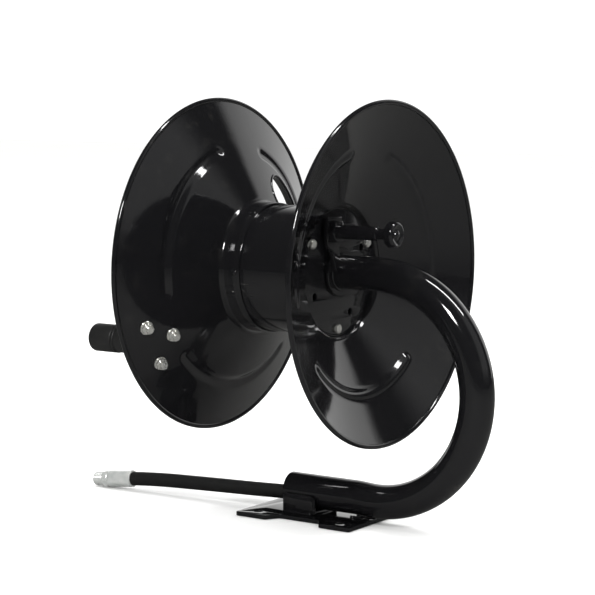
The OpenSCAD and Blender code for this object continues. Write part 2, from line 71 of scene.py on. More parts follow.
lens = bpy.data.cameras.new("portrait_lens")
lens.sensor_width = 36
lens.lens = 123.46
camera = in_scene("portrait_camera", lens)
out = Vector((math.sin(azimuth) * math.cos(elevation),
              -math.cos(azimuth) * math.cos(elevation), math.sin(elevation)))
camera.location = AIM + distance * out
camera.rotation_euler = (-out).to_track_quat("-Z", "Y").to_euler()
bpy.context.scene.camera = camera
print("camera at", [round(v, 3) for v in camera.location])

# %% [markdown]
# ## A small language for node trees
# Materials and Geometry Nodes are both trees of nodes. Joining them by hand in code is long, so a
# `Tree` adds a node in one call, and a `Wire` is a value that runs between nodes. Adding or
# multiplying two wires adds the Math node that does it, so a formula stays a formula.

# %% Wire and Tree
class Wire:
    def __init__(self, tree, socket):
        self.tree, self.socket = tree, socket

    def math(self, operation, *others):
        return self.tree.add("ShaderNodeMath", {"operation": operation},
                             {i: w for i, w in enumerate((self, *others))})

    def __add__(self, other):
        return self.math("ADD", other)

    def __mul__(self, other):
        return self.math("MULTIPLY", other)

    def __sub__(self, other):
        return self.math("SUBTRACT", other)

    def __rsub__(self, other):
        return (self * -1.0) + other

    def __truediv__(self, other):
        return self.math("DIVIDE", other)

    __radd__, __rmul__ = __add__, __mul__

    def sin(self):
        return self.math("SINE")

    def clip(self):
        return self.math("MAXIMUM", 0.0).math("MINIMUM", 1.0)

    def smooth(self):
        edge = self.clip()
        return edge * edge * (3.0 - 2.0 * edge)


class Tree:
    def __init__(self, tree):
        self.tree = tree

    def add(self, kind, settings=None, sockets=None, out=0):
        node = self.tree.nodes.new(kind)
        for key, value in (settings or {}).items():
            setattr(node, key, value)
        for key, value in (sockets or {}).items():
            if isinstance(value, Wire):
                self.tree.links.new(value.socket, node.inputs[key])
            else:
                node.inputs[key].default_value = value
        return Wire(self, node.outputs[out]) if len(node.outputs) else node

    def vector(self, operation, a, b):
        return self.add("ShaderNodeVectorMath", {"operation": operation}, {0: a, 1: b})

    def mix(self, share, a, b):
        return self.add("ShaderNodeMix", {"data_type": "RGBA"}, {0: share, 6: a, 7: b}, 2)


print("tree language ready")

# %% [markdown]
# A material starts from its place on the object. Noise at several sizes then varies its colour,
# its gloss and its bump, because a real coat or plating is never the same all over.

# %% Material helper
class Finish(Tree):
    def __init__(self, name):
        self.material = bpy.data.materials.new(name)
        self.material.use_nodes = True
        super().__init__(self.material.node_tree)
        self.tree.nodes.clear()
        self.place = self.add("ShaderNodeTexCoord", out=3)

    def noise(self, scale, detail=3.0, place=None):
        return self.add("ShaderNodeTexNoise", None,
                        {"Vector": place or self.place, "Scale": scale, "Detail": detail})

    def bump(self, height, distance, strength=1.0, under=None):
        sockets = {"Height": height, "Distance": distance, "Strength": strength}
        if under:
            sockets["Normal"] = under
        return self.add("ShaderNodeBump", None, sockets)

    def done(self, **sockets):
        names = {key.replace("_", " "): value for key, value in sockets.items()}
        shader = self.add("ShaderNodeBsdfPrincipled", None, names)
        self.add("ShaderNodeOutputMaterial", None, {"Surface": shader})
        return self.material


print("material helper ready")

# %% [markdown]
# ## Black powder coat
# Baked powder on steel is nearly black and very glossy, with a faint orange-peel surface a few
# millimetres across and a thin film of dust in places. Noise could also be painted, but worked out
# from the place it needs no image and fits every part.

# %% Powder coat
def powder_coat():
    f = Finish("black_powder_coat")
    cloud, dust = f.noise(9.0, 4.0), f.noise(60.0, 6.0)
    film = ((dust - 0.56) * 5.0).clip() * ((cloud - 0.42) * 4.0).clip()
    colour = f.mix(film * 0.35, (0.0045, 0.0045, 0.005, 1), (0.022, 0.021, 0.019, 1))
    peel = f.bump(f.noise(240.0, 2.0), 0.00004)
    wave = f.bump(f.noise(34.0, 1.0), 0.00012, under=peel)
    return f.done(Base_Color=colour, Roughness=0.055 + cloud * 0.05 + film * 0.08, Normal=wave,
                  IOR=1.5, Coat_Weight=0.35, Coat_Roughness=0.03)


BLACK_COAT = powder_coat()
print(BLACK_COAT.name)

# %% [markdown]
# ## Zinc plate, bronze, rubber and moulded plastic
# Bright zinc is a bluish or yellowish silver with small stains and fine machining marks, and its thin
# pale film scatters some light, so it isn't wholly metallic. Sintered bronze is speckled with pores.
# Hose rubber keeps the print of the cloth it was wrapped in while it cured. The grip is plastic with
# a fine spark texture.

# %% Metals
def zinc_plate(name, tint_a, tint_b, rough, metal):
    f = Finish(name)
    stain, grain = f.noise(70.0, 5.0), f.noise(900.0, 2.0)
    drawn = f.vector("MULTIPLY", f.place, (60.0, 2200.0, 2200.0))
    line = f.noise(1.0, 2.0, drawn)
    colour = f.mix(((stain - 0.38) * 3.0).clip(), tint_a, tint_b)
    normal = f.bump(line * 0.7 + grain * 0.3, 0.00003)
    return f.done(Base_Color=colour, Metallic=metal, Roughness=rough + stain * 0.16 + grain * 0.06,
                  Normal=normal)


ZINC = zinc_plate("bright_zinc", (0.74, 0.73, 0.68, 1), (0.56, 0.57, 0.56, 1), 0.14, 0.85)
FITTING = zinc_plate("fitting_zinc", (0.80, 0.81, 0.79, 1), (0.62, 0.65, 0.63, 1), 0.22, 0.6)


def bronze():
    f = Finish("sintered_bronze")
    pore = ((f.noise(1500.0, 2.0) - 0.6) * 8.0).clip()
    colour = f.mix(pore, (0.52, 0.33, 0.13, 1), (0.12, 0.07, 0.03, 1))
    return f.done(Base_Color=colour, Metallic=1.0, Roughness=0.34 + pore * 0.3,
                  Normal=f.bump(1.0 - pore, 0.00005))


BRONZE = bronze()
print(ZINC.name, FITTING.name, BRONZE.name)

# %% [markdown]
# The hose's pattern runs on a map of its own length, so it follows every bend. The seals have no such
# map and take the place on the object instead.

# %% Rubber and plastic
def hose_rubber(name, own_map):
    f = Finish(name)
    along = f.add("ShaderNodeUVMap", {"uv_map": "along"}) if own_map else f.place
    part = f.add("ShaderNodeSeparateXYZ", None, {0: along})
    u, v = part, Wire(f, part.socket.node.outputs[1])
    warp, weft = ((u + v) * 5200.0).sin(), ((u - v) * 5200.0).sin()
    cloth = (warp * weft) * 0.5 + 0.5
    streak, bloom = f.noise(18.0, 3.0), f.noise(120.0, 5.0)
    colour = f.mix(((bloom - 0.4) * 2.0).clip() * 0.6, (0.004, 0.004, 0.004, 1), (0.010, 0.010, 0.009, 1))
    normal = f.bump(cloth * 0.8 + bloom * 0.4, 0.00010)
    return f.done(Base_Color=colour, Roughness=0.50 + streak * 0.22 + cloth * 0.05, Normal=normal)


HOSE_RUBBER = hose_rubber("hose_rubber", True)
SEAL_RUBBER = hose_rubber("seal_rubber", False)


def grip_plastic():
    f = Finish("grip_plastic")
    spark, handled = f.noise(2600.0, 3.0), f.noise(45.0, 4.0)
    colour = f.mix(handled, (0.006, 0.006, 0.006, 1), (0.011, 0.011, 0.0105, 1))
    return f.done(Base_Color=colour, Roughness=0.38 + handled * 0.12 + spark * 0.08,
                  Normal=f.bump(spark, 0.00006))


GRIP_PLASTIC = grip_plastic()
print(HOSE_RUBBER.name, SEAL_RUBBER.name, GRIP_PLASTIC.name)

# %% [markdown]
# ## Mesh helpers
# A finished piece keeps its object at the origin and its place in its mesh, so patterns stay put.
# `put` makes the object, points its faces outwards, marks its sharp edges and hangs it on its body.


def cleaned(mesh, merge=True, turn=True):
    bm = bmesh.new()
    bm.from_mesh(mesh)
    if merge:
        bmesh.ops.remove_doubles(bm, verts=bm.verts, dist=1e-6)
    if turn:
        bmesh.ops.recalc_face_normals(bm, faces=bm.faces)
    bm.to_mesh(mesh)
    bm.free()
    return mesh


def put(name, mesh, body, finish, nodes=(), sharp=32, turn=True):
    cleaned(mesh, turn=turn)
    mesh.shade_smooth()
    mesh.set_sharp_from_angle(angle=math.radians(sharp))
    mesh.materials.clear()
    mesh.materials.append(finish)
    piece = in_scene(name, mesh)
    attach(piece, body)
    if nodes:
        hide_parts(*nodes)
    print(f"{name}: {len(mesh.polygons)} faces on {body}")
    return piece


def from_points(name, points, faces):
    mesh = bpy.data.meshes.new(name)
    mesh.from_pydata([tuple(p) for p in points], [], faces)
    return mesh


def baked(worker):
    """The final mesh of an object that has done its work."""
    view = bpy.context.evaluated_depsgraph_get()
    mesh = bpy.data.meshes.new_from_object(worker.evaluated_get(view))
    bpy.data.objects.remove(worker)
    return mesh


def applied(mesh, kind, **settings):
    """The mesh after one modifier with these settings."""
    worker = in_scene("worker", mesh)
    modifier = worker.modifiers.new(kind.lower(), kind)
    for key, value in settings.items():
        setattr(modifier, key, value)
    return baked(worker)


# %% [markdown]
# ## The lead hose
# A short hose leaves the arm's mouth and sags to its fitting on the floor. The points below are its
# real route. A smooth curve goes through them, and rings along that curve make the tube.

# %% Hose route
HOSE_D = 17.2 * MM
ROUTE = [(-36, 0, 23.5), (-52, 0, 23.2), (-69, -0.2, 22.5), (-86, -0.5, 21.8), (-103, -1, 21.2),
         (-120, -1.5, 20.7), (-137, -2.1, 20.2), (-154, -2.8, 19.7), (-171, -3.5, 19.2),
         (-188, -4.3, 18.7), (-205, -5.2, 18.2), (-222, -6.1, 17.6), (-236, -7, 16.9),
         (-250, -7.9, 16.1), (-262, -8.7, 15.2), (-272, -9.4, 14.3), (-282, -10.1, 13.3),
         (-292, -10.8, 12.3)]
ROUTE = [Vector(p) * MM for p in ROUTE]


def smooth_line(points, steps):
    line = []
    for i in range(len(points) - 1):
        p0, p1, p2, p3 = (points[max(0, min(len(points) - 1, i + k))] for k in (-1, 0, 1, 2))
        for s in range(steps):
            t = s / steps
            line.append(0.5 * (2 * p1 + (p2 - p0) * t + (2 * p0 - 5 * p1 + 4 * p2 - p3) * t * t
                               + (3 * p1 - p0 - 3 * p2 + p3) * t ** 3))
    return line + [points[-1]]


hose_line = smooth_line(ROUTE, 4)
hose_length = sum((b - a).length for a, b in zip(hose_line, hose_line[1:]))
print("hose length", round(hose_length, 4))

# %% [markdown]
# A hose is pulled from a die, so it is one round section all the way. Each ring stands square to the
# line, and the map counts metres round and along.

# %% Hose tube
def tube_along(line, radius, sides, up):
    points, faces, along, run = [], [], [], 0.0
    for i, p in enumerate(line):
        way = (line[min(i + 1, len(line) - 1)] - line[max(i - 1, 0)]).normalized()
        side = way.cross(up).normalized()
        top = side.cross(way)
        run += (p - line[i - 1]).length if i else 0.0
        for k in range(sides):
            a = 2 * math.pi * k / sides
            points.append(p + radius * (math.cos(a) * side + math.sin(a) * top))
        along.append(run)
    for i in range(len(line) - 1):
        for k in range(sides):
            n = (k + 1) % sides
            faces.append((i * sides + k, i * sides + n, (i + 1) * sides + n, (i + 1) * sides + k))
    faces.append(tuple(reversed(range(sides))))
    faces.append(tuple((len(line) - 1) * sides + k for k in range(sides)))
    mesh = from_points("tube", points, faces)
    layer = mesh.uv_layers.new(name="along")
    for face in mesh.polygons:
        start = min(face.vertices)
        for loop in face.loop_indices:
            v = mesh.loops[loop].vertex_index
            k = v % sides
            k += sides if k == 0 and start % sides == sides - 1 else 0
            layer.data[loop].uv = (2 * math.pi * radius * k / sides, along[v // sides])
    return mesh


lead_hose = put("lead_hose_tube", tube_along(hose_line, HOSE_D / 2, 32, Vector((0, 0, 1))), "stand",
                HOSE_RUBBER, ["lead_hose"], sharp=50, turn=False)

# %% [markdown]
# ## Turned parts
# Ferrules, nipples, grips and knobs are turned on a lathe, so a list of (distance along, radius)
# and a number of sides is enough. A small function may change the radius with the angle, which
# gives a hexagon, the flats that a crimping tool leaves, or a thread.

# %% Lathe
def lathe(profile, sides, frame_in=Matrix(), shape=None, closed=False):
    points, faces, n = [], [], len(profile)
    for k in range(sides):
        a = 2 * math.pi * k / sides
        for along, r in profile:
            r = shape(along, r, a) if shape else r
            points.append(frame_in @ Vector((r * math.cos(a), r * math.sin(a), along)))
    rows = n if closed else n - 1
    for k in range(sides):
        m = (k + 1) % sides
        for i in range(rows):
            j = (i + 1) % n
            faces.append((k * n + i, m * n + i, m * n + j, k * n + j))
    return from_points("turned", points, faces)


def mm(pairs):
    return [(a * MM, b * MM) for a, b in pairs]


def joined(*meshes):
    bm = bmesh.new()
    for mesh in meshes:
        bm.from_mesh(mesh)
    result = bpy.data.meshes.new("joined")
    bm.to_mesh(result)
    bm.free()
    return result


def hex_radius(flats):
    def shape(along, r, a):
        step = math.pi / 3
        b = (a + step / 2) % step - step / 2
        return min(r, flats / 2 / math.cos(b))
    return shape


print("lathe ready")

# %% [markdown]
# The hose ends in a crimped ferrule and a hexagon with a male thread. The crimping tool closes
# eight jaws, so the ferrule's middle has eight soft flats between two round ends.

# %% Ferrule and nipple
lead_way = (ROUTE[-1] - ROUTE[-3]).normalized()
lead_turn = Matrix.Rotation(math.atan2(lead_way.y, lead_way.x), 4, "Z") @ Matrix.Rotation(
    math.acos(lead_way.z), 4, "Y")
LEAD_END = Matrix.Translation(ROUTE[-1]) @ lead_turn


CRIMP_FROM, CRIMP_TO, CRIMP_FLAT = -15, 10, 10.05
THREAD_FROM, THREAD_TO, PITCH, THREAD_DEPTH = 26.5, 36.5, 1.4, 0.75


def crimped(along, r, a):
    """Eight flats pressed into the outer skin, while the bore stays round."""
    if r < 9.6 * MM:
        return r
    step = math.pi / 4
    b = (a + step / 2) % step - step / 2
    start, end = (along / MM - CRIMP_FROM) / 2, (CRIMP_TO - along / MM) / 2
    press = min(1, max(0, start)) * min(1, max(0, end))
    flat = CRIMP_FLAT * MM / math.cos(b)
    return r + (min(r, flat) - r) * press


ferrule_line = mm([(-20, 8.72), (-20, 10.0), (-19.4, 10.55)]
                  + [(-18.5 + 2 * i, 10.65 if i % 3 else 10.55) for i in range(16)]
                  + [(13, 10.6), (14.6, 10.2), (15.6, 9.3), (15.9, 7.0), (15.9, 0.02), (0.3, 0.02),
                     (0.3, 8.72)])
ferrule = put("lead_ferrule_crimped", lathe(ferrule_line, 96, LEAD_END, crimped, closed=True), "stand",
              FITTING, ["lead_ferrule"], sharp=30)


def threaded(along, r, a):
    """A triangular thread cut into the stem's outer skin."""
    if r < 7.9 * MM or along < THREAD_FROM * MM or along > THREAD_TO * MM:
        return r
    turn = ((along / MM - THREAD_FROM) / PITCH - a / (2 * math.pi)) % 1.0
    return r - THREAD_DEPTH * MM * abs(2 * turn - 1)


hexagon = lathe(mm([(16.05, 0.02), (16.05, 9.0), (16.9, 10.9), (23.2, 10.9), (24, 9.4), (24, 0.02)]), 48,
                LEAD_END, hex_radius(19 * MM))
stem_line = mm([(23.9, 4.5), (23.9, 7.6), (25.2, 7.6), (26.4, 8.3)]
               + [(26.5 + 0.2 * i, 8.3) for i in range(1, 50)]
               + [(36.6, 8.2), (38, 7.5), (38, 4.6), (37.4, 4.5)])
stem = lathe(stem_line, 48, LEAD_END, threaded, closed=True)
nipple = put("lead_nipple_threaded", joined(hexagon, stem), "stand", FITTING, ["lead_nipple"], sharp=25)

print("hose declared,", round(hose_length, 3), "m")

# %% [markdown]
# ## Geometry Nodes
# What repeats or follows a rule is grown by a node tree. `Recipe` starts a tree with named inputs,
# and `grow` runs it on a mesh, bakes the result to a plain mesh and throws the modifier away.

# %% Recipe and grow


class Recipe(Tree):
    def __init__(self, name, **inputs):
        super().__init__(bpy.data.node_groups.new(name, "GeometryNodeTree"))
        face = self.tree.interface
        face.new_socket("Geometry", in_out="INPUT", socket_type="NodeSocketGeometry")
        for key, kind in inputs.items():
            face.new_socket(key, in_out="INPUT", socket_type="NodeSocket" + kind)
        face.new_socket("Geometry", in_out="OUTPUT", socket_type="NodeSocketGeometry")
        self.entry = self.tree.nodes.new("NodeGroupInput")
        self.shape = self.given("Geometry")

    def given(self, name):
        return Wire(self, self.entry.outputs[name])

    def finish(self, geometry):
        real = self.add("GeometryNodeRealizeInstances", None, {0: geometry})
        made = self.add("GeometryNodeSetMaterial", None, {"Geometry": real, "Material": self.given("Finish")})
        end = self.tree.nodes.new("NodeGroupOutput")
        self.tree.links.new(made.socket, end.inputs[0])
        return self


def grow(recipe, mesh, **values):
    worker = in_scene("worker", mesh)
    modifier = worker.modifiers.new("recipe", "NODES")
    modifier.node_group = recipe.tree
    for item in recipe.tree.interface.items_tree:
        if item.in_out == "INPUT" and item.name in values:
            modifier[item.identifier] = values[item.name]
    return baked(worker)


print("recipes ready")

# %% [markdown]
# ## The flanges
# A flange is one steel sheet: a neck over the drum, a bend, a straight cone and a rolled rim, with
# three long ribs pressed into it. Its section turned round the axis gives the dish. Each rib is then
# a formula: how far a point is from the rib's middle line decides how far it is pushed out.

# %% Flange section
SHEET, RIM_R, NECK_R, BEND_R = 2.0, 197.0, 77.05, 8.0
RIM_X, CONE_RISE = 119, 0.504
SLOPE = math.atan(CONE_RISE)


def cone(r):
    return RIM_X + (r - RIM_R) * CONE_RISE


def polar(r, degrees):
    return r * math.cos(math.radians(degrees)), r * math.sin(math.radians(degrees))


def arc(cx, cy, r, a0, a1, n):
    spots = [polar(r, a0 + (a1 - a0) * i / n) for i in range(n + 1)]
    return [(cx + x, cy + y) for x, y in spots]


def flange_section():
    bend_x, turned = NECK_R + BEND_R, 90 + math.degrees(SLOPE)
    bend_y = cone(bend_x) - BEND_R / math.cos(SLOPE)
    lean = (-SHEET * math.sin(SLOPE), SHEET * math.cos(SLOPE))
    radii = [84 + 2.2 * i for i in range(50)]
    inner = [(r, cone(r)) for r in radii]
    outer = [(r + lean[0], cone(r) + lean[1]) for r in reversed(radii)]
    return ([(NECK_R, 33.6), (NECK_R, 43)] + arc(bend_x, bend_y, BEND_R, 180, turned, 8) + inner
            + arc(RIM_R, RIM_X + SHEET / 2, 3, 224, 544, 26) + outer
            + arc(bend_x, bend_y, BEND_R + SHEET, turned, 180, 8)
            + [(NECK_R - SHEET, 43), (NECK_R - SHEET, 33.6), (NECK_R - 1.6, 33), (NECK_R - 0.5, 33)])


def section_mesh(points):
    """A closed outline, set one metre in, because the tree turns it round a one metre circle."""
    mesh = bpy.data.meshes.new("section")
    n = len(points)
    mesh.from_pydata([(r * MM - 1.0, -z * MM, 0) for r, z in points],
                     [(i, (i + 1) % n) for i in range(n)], [])
    return mesh


print("flange section", len(flange_section()), "points")

# %% [markdown]
# A press forms the real dish and its ribs in one blow. Here a section swept round a circle and a push
# by formula do the same, and the numbers stay inputs of the tree.

# %% Flange recipe
def flange_recipe():
    t = Recipe("dished_flange", Side="Float", Rib_radius="Float", Rib_half_width="Float",
               Rib_depth="Float", Rib_half_angle="Float", First_rib="Float", Axis_height="Float",
               Middle="Float", Steps="Int", Finish="Material")
    ring = t.add("GeometryNodeCurvePrimitiveCircle", None, {"Radius": 1.0, "Resolution": t.given("Steps")})
    outline = t.add("GeometryNodeMeshToCurve", None, {0: t.shape})
    dish = t.add("GeometryNodeCurveToMesh", None, {0: ring, 1: outline})
    dish = t.add("GeometryNodeTransform", None, {"Geometry": dish, "Rotation": (0, math.pi / 2, 0)})
    place = t.add("GeometryNodeInputPosition")
    part = t.add("ShaderNodeSeparateXYZ", None, {0: place})
    x, y, z = (Wire(t, part.socket.node.outputs[i]) for i in range(3))
    r = (y * y + z * z).math("SQRT")
    turn = (z.math("ARCTAN2", y) - t.given("First_rib")).math("WRAP", math.pi / 3, -math.pi / 3)
    past = (turn.math("ABSOLUTE") - t.given("Rib_half_angle")).math("MAXIMUM", 0.0) * r
    cos, sin = math.cos(SLOPE), math.sin(SLOPE)
    middle = t.given("Rib_radius") * (cos + CONE_RISE * sin) + cone(0) * MM * sin
    across = r * cos + x * sin - middle
    gap = (across * across + past * past).math("SQRT")
    push = (1.0 - gap / t.given("Rib_half_width")).smooth() * t.given("Rib_depth")
    back = push * -sin / r
    offset = t.add("ShaderNodeCombineXYZ", None, {0: push * cos, 1: back * y, 2: back * z})
    dish = t.add("GeometryNodeSetPosition", None, {"Geometry": dish, "Offset": offset})
    flip = t.add("ShaderNodeCombineXYZ", None, {0: t.given("Side"), 1: 1.0, 2: 1.0})
    at = t.add("ShaderNodeCombineXYZ", None, {0: t.given("Middle"), 2: t.given("Axis_height")})
    placing = {"Geometry": dish, "Translation": at, "Scale": flip}
    return t.finish(t.add("GeometryNodeTransform", None, placing))


DISH = flange_recipe()


def flange_mesh(side):
    return grow(DISH, section_mesh(flange_section()), Side=float(side), Rib_radius=141 * MM,
                Rib_half_width=9.5 * MM, Rib_depth=3 * MM, Rib_half_angle=math.radians(42),
                First_rib=math.radians(27), Axis_height=AXIS_H, Middle=REEL_X, Steps=360,
                Finish=BLACK_COAT)


put("near_flange_dish", flange_mesh(1), "reel", BLACK_COAT, ["near_flange"], sharp=40)

# %% [markdown]
# The far flange has a window for the hose, a short arc with round ends. It is cut with a solid of
# that outline, which keeps its edge clean. A rolled bead and a lip then follow the same outline, so
# they are swept along it.

# %% Window outline
def window_outline(grow_by, n=16):
    w, a0, a1, r = 21 + grow_by, 34, 52, 105
    ends = [polar(r, a) for a in (a0, a1)]
    return (arc(0, 0, r + w, a0, a1, n) + arc(*ends[1], w, a1, a1 + 180, n)[1:]
            + arc(0, 0, r - w, a1, a0, n)[1:] + arc(*ends[0], w, a0 + 180, a0 + 360, n)[1:-1])


def on_far_cone(y, z, lift):
    """A point over the far flange, so many millimetres outside its winding side."""
    r = math.hypot(y, z)
    return Vector((REEL_X - (cone(r) + lift / math.cos(SLOPE)) * MM, y * MM, AXIS_H + z * MM))


outline = window_outline(0)
cutter_points = [Vector((x, y * MM, AXIS_H + z * MM)) for x in (-0.16, -0.07) for y, z in outline]
n = len(outline)
ends = [tuple(range(n)), tuple(reversed(range(n, 2 * n)))]
walls = [(i, i + n, (i + 1) % n + n, (i + 1) % n) for i in range(n)]
cutter_mesh = cleaned(from_points("cutter", cutter_points, ends + walls), merge=False)
cutter = in_scene("cutter", cutter_mesh)
dish = cleaned(flange_mesh(-1), merge=False)
dish = applied(dish, "BOOLEAN", operation="DIFFERENCE", object=cutter, solver="EXACT")
bpy.data.objects.remove(cutter)
put("far_flange_dish", dish, "reel", BLACK_COAT, ["far_flange"], sharp=40)

# %% [markdown]
# ## Sweeps
# The bent tube, the weld beads and the window's bead are all a small section swept along a line.
# One tree does this. A weld bead also swells and shrinks as the torch moves on, so the tree can
# ripple the section along the line and shake it a little.

# %% Sweep recipe
def sweep_recipe():
    t = Recipe("sweep", Radius="Float", Sides="Int", Ripple="Float", Ripple_step="Float",
               Shake="Float", Seed="Float", Finish="Material")
    line = t.add("GeometryNodeMeshToCurve", None, {0: t.shape})
    section = t.add("GeometryNodeCurvePrimitiveCircle", None,
                    {"Radius": t.given("Radius"), "Resolution": t.given("Sides")})
    run = t.add("GeometryNodeSplineParameter", out=1)
    wave = (run / t.given("Ripple_step") * (2 * math.pi)).sin() * t.given("Ripple") + 1.0
    skin = t.add("GeometryNodeCurveToMesh", None, {0: line, 1: section, "Scale": wave})
    place = t.add("GeometryNodeInputPosition")
    noise = t.add("ShaderNodeTexNoise", {"noise_dimensions": "4D"},
                  {"Vector": place, "W": t.given("Seed"), "Scale": 420.0, "Detail": 1.0})
    normal = t.add("GeometryNodeInputNormal")
    push = t.add("ShaderNodeVectorMath", {"operation": "SCALE"},
                 {0: normal, 3: (noise - 0.5) * t.given("Shake")})
    return t.finish(t.add("GeometryNodeSetPosition", None, {"Geometry": skin, "Offset": push}))


SWEEP = sweep_recipe()


def line_mesh(points, closed=False):
    mesh = bpy.data.meshes.new("line")
    n = len(points)
    edges = [(i, (i + 1) % n) for i in range(n if closed else n - 1)]
    mesh.from_pydata([tuple(p) for p in points], edges, [])
    return mesh


def swept(points, radius, sides, closed=False, ripple=0.0, step=0.002, shake=0.0, seed=0.0):
    return grow(SWEEP, line_mesh(points, closed), Radius=radius, Sides=sides, Ripple=ripple,
                Ripple_step=step, Shake=shake, Seed=seed, Finish=BLACK_COAT)


print("sweep recipe ready")

# %% [markdown]
# The window's edge is rolled, so that it can't cut the hose: a bead lies on the dish, and a lip stands
# up round the outer side, where the hose bears on it.

# %% Window bead and lip
bead_line = [on_far_cone(y, z, 0.7) for y, z in window_outline(1.3, 24)]
bead = swept(bead_line, 1.9 * MM, 16, closed=True)
lip_line = [(y, z) for y, z in window_outline(1.0, 24) if math.hypot(y, z) > 97]
cut = max(range(len(lip_line)), key=lambda i: math.dist(lip_line[i], lip_line[i - 1]))
lip_line = lip_line[cut:] + lip_line[:cut]
inner_line = window_outline(0.05, 24)
rows = []
for y, z in lip_line:
    r, a = math.hypot(y, z), math.atan2(z, y)
    near = min(inner_line, key=lambda p: math.dist(p, (y, z)))
    away = Vector((y - near[0], z - near[1])).normalized()
    rows.append([on_far_cone(y + away.x * s, z + away.y * s, h) for s, h in
                 ((-0.95, 0.5), (-0.95, 8.4), (-0.6, 9.3), (0.2, 9.7), (0.8, 9.3), (0.95, 8.6), (0.95, 0.5))])
m = len(rows[0])
lip = from_points("lip", [p for row in rows for p in row],
                  [(i * m + k, i * m + (k + 1) % m, (i + 1) * m + (k + 1) % m, (i + 1) * m + k)
                   for i in range(len(rows) - 1) for k in range(m)]
                  + [tuple(range(m)), tuple(reversed(range((len(rows) - 1) * m, len(rows) * m)))])
put("window_rim", joined(bead, lip), "reel", BLACK_COAT, sharp=50)

# %% [markdown]
# ## The arm
# The arm is one steel tube: level through the collar, half a turn down, and a level leg in the
# saddle. `walk` draws its middle line the way a bender would, from lengths and turns.

# %% Arm tube
def walk(x, z, heading, moves):
    line = [(x, z)]
    for length, turn, radius in moves:
        steps = max(2, round((length or abs(math.radians(turn)) * radius) / 3.4))
        for _ in range(steps):
            advance = length / steps if length else 2 * radius * math.sin(abs(math.radians(turn)) / steps / 2)
            heading += turn / steps / 2
            x += advance * math.cos(math.radians(heading))
            z += advance * math.sin(math.radians(heading))
            heading += turn / steps / 2
            line.append((x, z))
    return [Vector((x, 0, z)) * MM for x, z in line]


ARM_R, ARM_WALL, ARM_X, BEND_X = 20, 2, 34, 83
BIG_BEND, BACK_BEND, RISE, LEG = 132.4, 125, 11, 88.5
OVER = math.degrees(math.atan2(237, 3116))
arm_line = walk(ARM_X, SPINDLE_Z, 0, [(BEND_X - ARM_X, 0, 0), (0, -180 - OVER, BIG_BEND), (RISE, 0, 0),
                                      (0, OVER, BACK_BEND), (LEG, 0, 0)])
print("arm ends at", [round(v / MM, 1) for v in arm_line[-1]])

# %% [markdown]
# The tube is open at the mouth, where its wall shows. So an outer and an inner skin are swept and
# joined at both ends, and the end edges are eased.

# %% Thicken the tube
def tube_wall(line, radius, wall, sides):
    outside = swept(line, radius, sides)
    inside = swept(line, radius - wall, sides)
    bm = bmesh.new()
    bm.from_mesh(outside)
    bm.from_mesh(inside)
    bm.edges.ensure_lookup_table()
    rims = [e for e in bm.edges if e.is_boundary]
    for end in (line[0], line[-1]):
        near = [e for e in rims if (e.verts[0].co - end).length < radius * 1.2]
        bmesh.ops.bridge_loops(bm, edges=near)
    result = bpy.data.meshes.new("tube_wall")
    bm.to_mesh(result)
    bm.free()
    return applied(result, "BEVEL", width=0.35 * MM, segments=2, limit_method="ANGLE",
                   angle_limit=math.radians(60))


put("arm_tube_bent", tube_wall(arm_line, ARM_R * MM, ARM_WALL * MM, 72), "stand", BLACK_COAT, ["arm_tube"])

# %% [markdown]
# Weld beads join the saddle to the plate, the saddle to the tube, the tube's bend to the plate and
# the collar to the tube. Each is a short lumpy sweep under the same coat as everything else.

# %% Weld beads
def straight(a, b, step=0.6):
    a, b = Vector(a), Vector(b)
    count = max(2, round((b - a).length / step))
    return [(a + (b - a) * i / count) * MM for i in range(count + 1)]


def circle_x(x, y, z, r, count=120):
    turns = [2 * math.pi * i / count for i in range(count)]
    return [Vector((x, y + r * math.cos(a), z + r * math.sin(a))) * MM for a in turns]


runs = [straight((-31, s * 21.3, 26), (8, s * 21.3, 26)) for s in (-1, 1)]
runs += [straight((-32, s * 24, 5.6), (9, s * 24, 5.6)) for s in (-1, 1)]
runs += [straight((10.4, s * 22.6, 7), (10.4, s * 22.6, 24)) for s in (-1, 1)]
runs += [straight((52, s * 7, 6.0), (77, s * 7, 6.0)) for s in (-1, 1)]
parts = [swept(run, (2.1 if abs(run[0].y) > 0.02 else 1.9) * MM, 12, ripple=0.13, step=2.3 * MM,
               shake=0.9 * MM, seed=float(i)) for i, run in enumerate(runs)]
parts.append(swept(circle_x(ARM_X + 0.6, 0, SPINDLE_Z, ARM_R + 0.6), 1.7 * MM, 12, closed=True, ripple=0.1,
                   step=2.3 * MM, shake=0.6 * MM, seed=9.0))
put("weld_beads_lumpy", joined(*parts), "stand", BLACK_COAT, ["weld_beads"], sharp=70)

# %% [markdown]
# ## Plates
# Laser-cut plates have crisp outlines and slightly rounded edges under their coat. A flat curve with
# an outline and holes can be thickened and its edge rounded in one go, which a cube can't match.

# %% Plate helper
def circle_2d(x, y, r, count=48):
    return [(x + r * math.cos(2 * math.pi * i / count), y + r * math.sin(2 * math.pi * i / count))
            for i in range(count)]


def plate(outlines, thick, edge, place):
    flat = bpy.data.curves.new("flat", "CURVE")
    flat.dimensions, flat.fill_mode = "2D", "BOTH"
    flat.extrude, flat.bevel_depth = (thick / 2 - edge) * MM, edge * MM
    flat.bevel_resolution, flat.offset = 2, -edge * MM
    for points in outlines:
        spline = flat.splines.new("POLY")
        spline.points.add(len(points) - 1)
        spline.use_cyclic_u = True
        for point, (x, y) in zip(spline.points, points):
            point.co = (x * MM, y * MM, 0, 1)
    mesh = baked(in_scene("flat", flat))
    mesh.transform(place)
    return mesh


